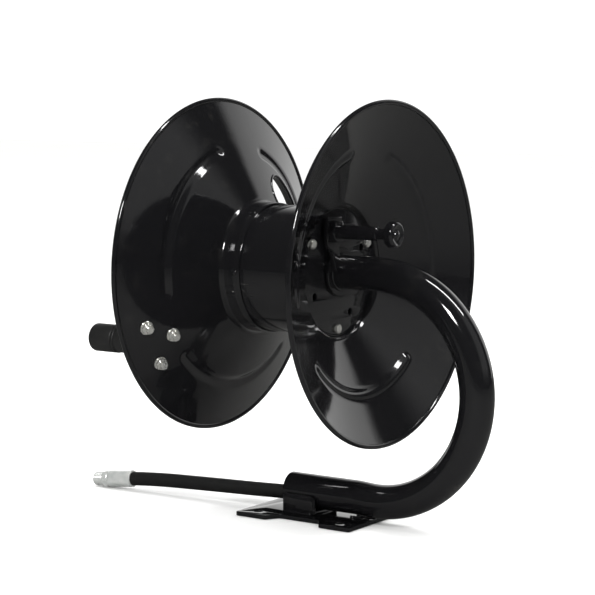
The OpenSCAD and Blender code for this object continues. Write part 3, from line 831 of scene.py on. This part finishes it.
def reel_place(x):
    """Flat pieces across the spindle: their own (x, y) becomes (Y, Z) on the reel."""
    return Matrix(((0, 0, 1, x * MM), (1, 0, 0, 0), (0, 1, 0, AXIS_H), (0, 0, 0, 1)))


def round_corners(points, r, n=5):
    """Each corner of an outline eased by a small arc."""
    result = []
    for i, p in enumerate(points):
        a, b = Vector(points[i - 1]), Vector(points[(i + 1) % len(points)])
        p = Vector(p)
        u, v = (a - p).normalized(), (b - p).normalized()
        for k in range(n + 1):
            t = k / n
            result.append(tuple((1 - t) ** 2 * (p + u * r) + 2 * t * (1 - t) * p + t * t * (p + v * r)))
    return result


print("plate helper ready")

# %% [markdown]
# The base plate has four ears for bolts, the hub plates carry the bushes, and the tab holds the lock.
# All are cut from sheet.

# %% Base plate, hub plates and lock tab
side = [(-80, 54), (-38, 54), (-28, 38), (28, 38), (38, 54), (80, 54)]
base_outline = round_corners(side + [(x, -y) for x, y in reversed(side)], 2.0)
base = plate([base_outline] + [circle_2d(x, y, 5.5) for x in (-58, 58) for y in (-39, 39)], 5, 0.7,
             Matrix.Translation((0, 0, 2.5 * MM)))
put("base_plate_cut", base, "stand", BLACK_COAT, ["base_plate"])

HUB_AT, HUB_BOLT_R = [27, 147, 267], 66.5
PLATE_FACE, PLATE_T = 54.5, 3.5
LOCK_HOLE_R, SCREW_R = 55, 27
LOCK_Y, LOCK_UP = -24.97, 49.0


def hub_plate(side, more_holes):
    """A disc with its bore and bolt holes, against one end of the drum."""
    bolt_holes = [circle_2d(*polar(HUB_BOLT_R, a), 3.3, 24) for a in HUB_AT]
    middle = DRUM_X + side * (PLATE_FACE - PLATE_T / 2)
    return plate([circle_2d(0, 0, 73, 180), circle_2d(0, 0, 20, 72)] + bolt_holes + more_holes, PLATE_T, 0.6,
                 reel_place(middle))


lock_holes = [circle_2d(*polar(LOCK_HOLE_R, 117 + 90 * k), 4.3, 32) for k in range(4)]
put("near_hub_plate_cut", hub_plate(1, lock_holes), "reel", BLACK_COAT, ["near_hub_plate"])
screw_holes = [circle_2d(*polar(SCREW_R, 90 * k), 2.5, 24) for k in range(4)]
put("far_hub_plate_cut", hub_plate(-1, screw_holes), "reel", BLACK_COAT, ["far_hub_plate"])
tab = plate([round_corners([(-38, 66), (-8, 66), (-14, 26), (-10, 10), (-19, 0), (-29, 26), (-38, 32)], 3.0),
             circle_2d(LOCK_Y, LOCK_UP, 4.3, 32)], 6, 0.6, reel_place(37))
put("lock_tab_cut", tab, "stand", BLACK_COAT, ["lock_tab"])

# %% [markdown]
# ## Fasteners
# Bolts, nuts, washers, rivets and screws repeat, so each kind is turned once and set out by a tree:
# every point of a small mesh gets one, standing along the direction that the point carries.

# %% Setting-out recipe
def set_out_recipe():
    t = Recipe("set_out", Pattern="Object", Twist="Float", Finish="Material")
    spots = t.add("GeometryNodeMeshToPoints", None, {0: t.shape})
    way = t.add("GeometryNodeInputNamedAttribute", {"data_type": "FLOAT_VECTOR"}, {"Name": "facing"})
    twist = t.add("ShaderNodeCombineXYZ", None, {2: t.given("Twist")})
    stand = t.add("FunctionNodeAlignEulerToVector", {"axis": "Z"}, {"Vector": way})
    pattern = t.add("GeometryNodeObjectInfo", None, {"Object": t.given("Pattern")})
    pattern = Wire(t, pattern.socket.node.outputs["Geometry"])
    made = t.add("GeometryNodeInstanceOnPoints", None, {0: spots, 2: pattern, 5: stand})
    made = t.add("GeometryNodeRotateInstances", None, {0: made, 2: twist})
    return t.finish(made)


SET_OUT = set_out_recipe()


def set_out(places, pattern, finish, twist=0.0):
    """One of the pattern at each (point, direction)."""
    mesh = bpy.data.meshes.new("spots")
    mesh.from_pydata([tuple(p) for p, _ in places], [], [])
    facing = mesh.attributes.new("facing", "FLOAT_VECTOR", "POINT")
    facing.data.foreach_set("vector", [c for _, d in places for c in Vector(d).normalized()])
    master = in_scene("master", pattern)
    result = grow(SET_OUT, mesh, Pattern=master, Twist=twist, Finish=finish)
    bpy.data.objects.remove(master)
    return result


def on_reel(x, r, degrees):
    y, z = polar(r, degrees)
    return Vector((x, y, SPINDLE_Z + z)) * MM


print("setting-out recipe ready")

# %% [markdown]
# A hex head is a lathe outline whose radius is held in by six flats, which also gives the chamfer its
# curved edge. A locking nut has a plain collar above its hexagon.

# %% Bolt, nut, washer, rivet and screw
def hex_head(flats, high, shank_r, shank_l):
    big = flats / 2 / math.cos(math.pi / 6)
    head = lathe(mm([(0, 0.02), (0, flats / 2 - 0.2), (0.35, big + 0.1), (high - 0.7, big + 0.1),
                     (high - 0.1, flats / 2 * 0.97), (high, flats / 2 * 0.9), (high - 0.25, flats / 2 * 0.6),
                     (high - 0.25, 0.02)]), 48, shape=hex_radius(flats * MM))
    turns = [(-shank_l + 0.4 + 0.25 * i, shank_r - (0.28 if i % 4 in (1, 2) else 0))
             for i in range(int((shank_l - 0.6) / 0.25))]
    shank_line = [(-shank_l, 0.02), (-shank_l, shank_r - 0.6)] + turns + [(0.1, shank_r), (0.1, 0.02)]
    shank = lathe(mm(shank_line), 24)
    return joined(head, shank)


def hex_nut(flats, high, bore_r, collar):
    big = flats / 2 / math.cos(math.pi / 6)
    top = high - collar
    line = [(0, bore_r), (0, flats / 2 - 0.2), (0.45, big + 0.1), (top - 0.6, big + 0.1),
            (top, flats / 2 * 0.95)]
    if collar:
        line += [(top + 0.1, flats / 2 * 0.84), (high - 0.5, flats / 2 * 0.82),
                 (high - 0.1, flats / 2 * 0.74), (high, bore_r + 0.9), (high - 0.5, bore_r + 0.1)]
    else:
        line += [(high - 0.3, bore_r + 0.3), (high - 0.6, bore_r)]
    return lathe(mm(line), 48, shape=hex_radius(flats * MM), closed=True)


def ring_washer(bore_r, out_r, thick):
    return lathe(mm([(0, bore_r), (0, out_r - 0.3), (0.3, out_r), (thick - 0.3, out_r),
                     (thick, out_r - 0.3), (thick, bore_r)]), 48, closed=True)


def fasten(name, places, pattern, node, twist=0.0, finish=ZINC, sharp=25):
    put(name, set_out(places, pattern, finish, twist), "reel", finish, [node], sharp)


RING_FACE = 47.5
outsides = [(on_reel(DRUM_X + s * PLATE_FACE, HUB_BOLT_R, a), (s, 0, 0)) for s in (1, -1) for a in HUB_AT]
fasten("hub_bolts_hex", outsides, hex_head(10, 4, 3, 14), "hub_bolts", twist=0.35)
insides = [(on_reel(DRUM_X + s * RING_FACE, HUB_BOLT_R, a), (-s, 0, 0)) for s in (1, -1) for a in HUB_AT]
fasten("hub_nuts_hex", insides, hex_nut(10, 5, 3, 0), "hub_nuts")
rivet = lathe(mm([(-3.4, 0.02), (-3.4, 2), (0.05, 2), (0.05, 3.5), (0.5, 3.4), (1.0, 2.8), (1.3, 1.7),
                  (1.4, 0.02)]), 24)
rivet_turns = [(s, 60 * k) for s in (1, -1) for k in range(6)]
rivets = [(on_reel(DRUM_X + s * 40, NECK_R + 0.15, a), (0, *polar(1, a))) for s, a in rivet_turns]
fasten("neck_rivets_domed", rivets, rivet, "neck_rivets", finish=BLACK_COAT, sharp=35)

# %% [markdown]
# The crank's bolts stand square to the sloping dish, with their heads outside and their nuts inside.
# The swivel's screws stand along the spindle.

# %% Crank fasteners and swivel screws
CRANK = [(144, -150.5), (169, -159), (169, -142)]


def crank_spot(r, a, lift):
    """A place so far out of the far dish from its winding side, and the way out of the dish."""
    y, z = polar(1, a)
    way = Vector((-math.cos(SLOPE), -math.sin(SLOPE) * y, -math.sin(SLOPE) * z))
    return on_reel(DRUM_X - cone(r), r, a) + way * lift * MM, way


heads = [crank_spot(r, a, 6.2) for r, a in CRANK]
fasten("crank_bolts_hex", heads, hex_head(13, 5.3, 4, 18), "crank_bolts", twist=0.2)
washers = [crank_spot(r, a, -1.8) for r, a in CRANK]
fasten("crank_washers_round", washers, ring_washer(4.05, 8, 1.6), "crank_washers", sharp=30)
nuts = [(p, -way) for p, way in washers]
fasten("crank_nuts_locking", nuts, hex_nut(13, 6.5, 4, 2.2), "crank_nuts", twist=0.5)
screw = joined(lathe(mm([(0, 0.02), (0, 4.1), (0.2, 4.25), (4.6, 4.25), (5, 3.9), (5, 2.4)]), 32),
               lathe(mm([(5, 2.4), (4.9, 2.3), (2.4, 2.3), (2.4, 0.02)]), 32, shape=hex_radius(4.0 * MM)),
               lathe(mm([(-11, 0.02), (-11, 2.2), (-10.5, 2.5), (0.05, 2.5), (0.05, 0.02)]), 24))
screws = [(on_reel(-85.5, SCREW_R, 90 * k), (-1, 0, 0)) for k in range(4)]
fasten("swivel_screws_socket", screws, screw, "swivel_screws", sharp=30)

# %% [markdown]
# ## Turned pieces on the reel and the stand
# The drum, the swivel, the collar, the lock's barrel and knob, and the grip are all round, so each
# is one outline turned on the lathe, with its edges eased as paint and tools leave them.

# %% Drum, swivel and collar
def along_x(x, y=0.0, z=SPINDLE_Z, way=1):
    """Lathe frame whose axis runs along +X or -X from this point, in millimetres."""
    return Matrix.Translation(Vector((x, y, z)) * MM) @ Matrix.Rotation(way * math.pi / 2, 4, "Y")


half_drum = [(47.5, 73.5), (47.5, 60.2), (51, 60.2), (51, 73.5), (54.5, 73.5), (54.5, 74.7), (54.2, 75)]
drum_line = [(-x, r) for x, r in half_drum] + half_drum[::-1]
put("drum_rolled", lathe(mm(drum_line), 240, along_x(DRUM_X), closed=True), "reel", BLACK_COAT, ["drum"])
collar_line = [(0, 12.6), (0, 28.1), (0.5, 28.5), (3.4, 28.5), (4, 27.9), (4, 12.6)]
put("arm_collar_turned", lathe(mm(collar_line), 144, along_x(30), closed=True), "stand",
    BLACK_COAT, ["arm_collar"])
swivel_line = [(0, 12.6), (0, 33), (5.4, 33), (6, 32.4), (6, 23.4), (6.4, 22.3), (7.2, 22), (38.6, 22),
               (40, 20.6), (40, 0.02), (32.5, 0.02), (32.5, 8), (20.5, 8), (20.5, 12.6)]
put("swivel_body_turned", lathe(mm(swivel_line), 144, along_x(-79.5, way=-1), closed=True), "reel",
    FITTING, ["swivel_body"])
outlet_at = (Matrix.Translation(Vector((-107, 0, SPINDLE_Z)) * MM)
             @ Matrix.Rotation(math.radians(-47), 4, "X") @ Matrix.Rotation(math.radians(4.5), 4, "Y"))
outlet_hex = lathe(mm([(19.5, 5.5), (19.5, 12.0), (21.2, 12.8), (31.2, 12.8), (32, 11.0), (32, 5.5)]), 48,
                   outlet_at, hex_radius(22 * MM), closed=True)
outlet_stem = lathe([(s + 8 * MM, r) for s, r in stem_line], 48, outlet_at,
                    lambda s, r, a: threaded(s - 8 * MM, r, a), closed=True)
put("outlet_fitting_threaded", joined(outlet_hex, outlet_stem), "reel", FITTING,
    ["outlet_fitting"], sharp=25)

# %% [markdown]
# The lock is a spring plunger: a barrel through the tab with a nut behind it, and a dished knob to
# pull. It slides, so the knob rides on the lock's own body.

# %% Lock barrel, nut and knob
LOCK_Z = SPINDLE_Z + LOCK_UP
barrel_line = [(0, 6.2), (0, 8), (59.2, 8), (60, 7.2), (60, 6.2)]
put("lock_barrel_turned", lathe(mm(barrel_line), 64, along_x(40, LOCK_Y, LOCK_Z), closed=True),
    "stand", BLACK_COAT, ["lock_barrel"])
put("lock_nut_hex", lathe(mm([(0, 8), (0, 11.8), (0.6, 14), (7.3, 14), (8, 11.6), (8, 8)]), 48,
                          along_x(40, LOCK_Y, LOCK_Z), hex_radius(24 * MM), closed=True),
    "stand", BLACK_COAT, ["lock_nut"], sharp=25)
knob_line = ([(0, 0.02), (0, 7.4), (0.5, 8.2), (1.5, 10.6)] + arc(4.4, 11.4, 3.6, 165, 90, 6)
             + [(8.4, 15.0)] + arc(9.4, 11.4, 3.6, 90, 10, 8)
             + [(11.9, 10.4), (11.2, 9.2), (11.0, 6.0), (11.2, 5.0), (12.4, 4.4), (12.9, 3.4), (13.0, 0.02)])
put("lock_knob_turned", lathe(mm(knob_line), 96, along_x(113, LOCK_Y, LOCK_Z)), "lock", BLACK_COAT,
    ["lock_knob"])

# %% [markdown]
# The grip is one moulding with a bead between two grooves near its middle, and it turns on a stud
# whose end is closed by a snap cap.

# %% Grip and cap
GRIP_Y, GRIP_Z = -136.137, 211.809
grip_start, grip_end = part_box("handle_grip")[1].x / MM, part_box("handle_grip")[0].x / MM
grip_long = grip_start - grip_end
bead_at = grip_long - 33.6 - 2.3
grip_line = ([(0, 5.3), (0, 15.0), (0.3, 15.5), (0.9, 15.7), (bead_at - 3.0, 15.7), (bead_at - 2.6, 15.2),
              (bead_at - 2.2, 14.6)] + arc(bead_at, 14.5, 2.0, 155, 25, 8)
             + [(bead_at + 2.2, 14.7), (bead_at + 2.5, 15.5), (bead_at + 3.1, 16.2), (bead_at + 3.9, 16.5)]
             + arc(grip_long - 4, 12.5, 4.0, 90, 8, 8)
             + [(grip_long - 0.05, 11.4), (grip_long - 0.3, 10.2), (grip_long - 7, 10.1),
                (grip_long - 7, 5.3)])
put("handle_grip_moulded", lathe(mm(grip_line), 96, along_x(grip_start, GRIP_Y, GRIP_Z, -1), closed=True),
    "grip", GRIP_PLASTIC, ["handle_grip"], sharp=30)
cap_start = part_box("grip_cap")[1].x / MM
cap_line = [(0, 0.02), (0, 9.8), (0.4, 10), (1.5, 10), (2.1, 9.6), (2.4, 8.6), (2.5, 7.6), (2.2, 7.2),
            (2.2, 0.02)]
put("grip_cap_snap", lathe(mm(cap_line), 72, along_x(cap_start, GRIP_Y, GRIP_Z, -1)), "grip",
    GRIP_PLASTIC, ["grip_cap"], sharp=30)

# %% [markdown]
# ## Softened CAD parts
# The saddle and the crank plate already have their right shapes, with razor edges. A copy is merged,
# its flat faces are joined again, and a small bevel eases every edge.

# %% Soften
def softened(node, width):
    bm = bmesh.new()
    bm.from_mesh(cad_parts[node].data)
    bmesh.ops.remove_doubles(bm, verts=bm.verts, dist=2e-6)
    bmesh.ops.dissolve_limit(bm, angle_limit=math.radians(0.6), verts=bm.verts, edges=bm.edges)
    mesh = bpy.data.meshes.new(node)
    bm.to_mesh(mesh)
    bm.free()
    return applied(mesh, "BEVEL", width=width * MM, segments=2, limit_method="ANGLE",
                   angle_limit=math.radians(40))


put("saddle_bracket_eased", softened("saddle_bracket", 0.7), "stand", BLACK_COAT, ["saddle_bracket"])
put("crank_plate_eased", softened("crank_plate", 0.4), "reel", BLACK_COAT, ["crank_plate"])

# %% [markdown]
# ## The parts that stay as they are
# What is hidden inside the hub, the arm and the lock keeps its CAD shape and takes its finish here.

# %% Finishes for the CAD parts
CAD_FINISH = {
    BLACK_COAT: ["near_housing", "far_housing", "lock_plunger"],
    ZINC: ["spindle_plug", "spindle", "thrust_washer", "spindle_clip", "arm_hose_ferrule",
           "arm_hose_nut", "lock_ring", "lock_spring", "handle_stud"],
    BRONZE: ["near_bush", "far_bush"],
    SEAL_RUBBER: ["arm_hose", "swivel_seals"],
}
for finish, names in CAD_FINISH.items():
    for name in names:
        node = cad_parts[name]
        if not node.material_slots:
            node.data.materials.append(finish)
        for held in node.material_slots:
            held.material = finish
print("finished", sum(len(v) for v in CAD_FINISH.values()), "CAD parts")

# %% [markdown]
# ## Floor and light
# A pale floor and a white room show the reel, and black gloss shows mostly what it reflects. So a
# small soft box stands at the front right, a large one above lights without showing in the gloss, and
# a long strip overhead draws the highlights on the tube and the ribs. The room is white to look at,
# and in reflections it is bright behind the reel, grey to its right and nearly black in front.

# %% Floor
def floor():
    f = Finish("pale_floor")
    tone = f.noise(3.0, 2.0)
    paper = f.mix(tone, (0.88, 0.88, 0.875, 1), (0.91, 0.91, 0.905, 1))
    # Painted reflection: for glossy rays the floor's colour is painted near black, which stands in for shade
    # around the reel; the camera and matt surfaces see it pale.
    painted_reflection_mask = f.add("ShaderNodeLightPath", out=3)
    material = f.done(Base_Color=f.mix(painted_reflection_mask, paper, (0.08, 0.08, 0.077, 1)),
                      Roughness=0.75 + tone * 0.1)
    points = [(x, y, -0.0006) for x, y in ((-9, -9), (9, -9), (9, 9), (-9, 9))]
    mesh = from_points("floor", points, [(0, 1, 2, 3)])
    mesh.materials.append(material)
    in_scene("studio_floor", mesh)


floor()
print("floor laid")

# %% [markdown]
# Lights are placed by direction and distance from the middle of the view. What the camera and the matt
# surfaces see is white, and only reflections see the shaped room.

# %% Lights and room
def soft_light(name, way, distance, width, height, power):
    data = bpy.data.lights.new(name, "AREA")
    data.shape, data.size, data.size_y, data.energy = "RECTANGLE", width, height, power
    lamp = in_scene(name, data)
    way = Vector(way).normalized()
    lamp.location = AIM + way * distance
    lamp.rotation_euler = way.to_track_quat("Z", "Y").to_euler()
    return lamp


soft_light("key_right", (0.35, -0.75, 0.55), 2.4, 0.4, 0.4, 30)
soft_light("top", (0.1, 0.2, 1.0), 2.6, 2.2, 2.2, 60).visible_glossy = False
soft_light("strip_over", (0.42, 0.2, 0.88), 2.4, 0.24, 1.5, 26)

room = bpy.data.worlds.new("white_room")
room.use_nodes = True
bpy.context.scene.world = room
room.node_tree.nodes.clear()
air = Tree(room.node_tree)
way = air.add("ShaderNodeTexCoord", out=0)
part = air.add("ShaderNodeSeparateXYZ", None, {0: way})
x, y, z = (Wire(air, part.socket.node.outputs[i]) for i in range(3))
heading = x.math("ARCTAN2", y)
behind = ((0.50 - heading) * 8.0).smooth() * ((heading + 1.5) * 3.0).smooth() * ((0.75 - z) * 2.5).smooth()
right = ((heading - 0.72) * 3.0).smooth() * ((1.85 - heading) * 3.0).smooth() * (z * 4.0).smooth()
seen = air.add("ShaderNodeLightPath", out=0)
spread = Wire(air, seen.socket.node.outputs["Is Diffuse Ray"])
glow = behind * 0.88 + right * 0.32 + 0.03
plain = seen.math("MAXIMUM", spread)
level = plain * 1.27 + (1.0 - plain) * glow
back = air.add("ShaderNodeBackground", None, {"Color": (1, 1, 0.995, 1), "Strength": level})
air.add("ShaderNodeOutputWorld", None, {"Surface": back})
bpy.context.scene.view_settings.view_transform = "Standard"
print("room lit")
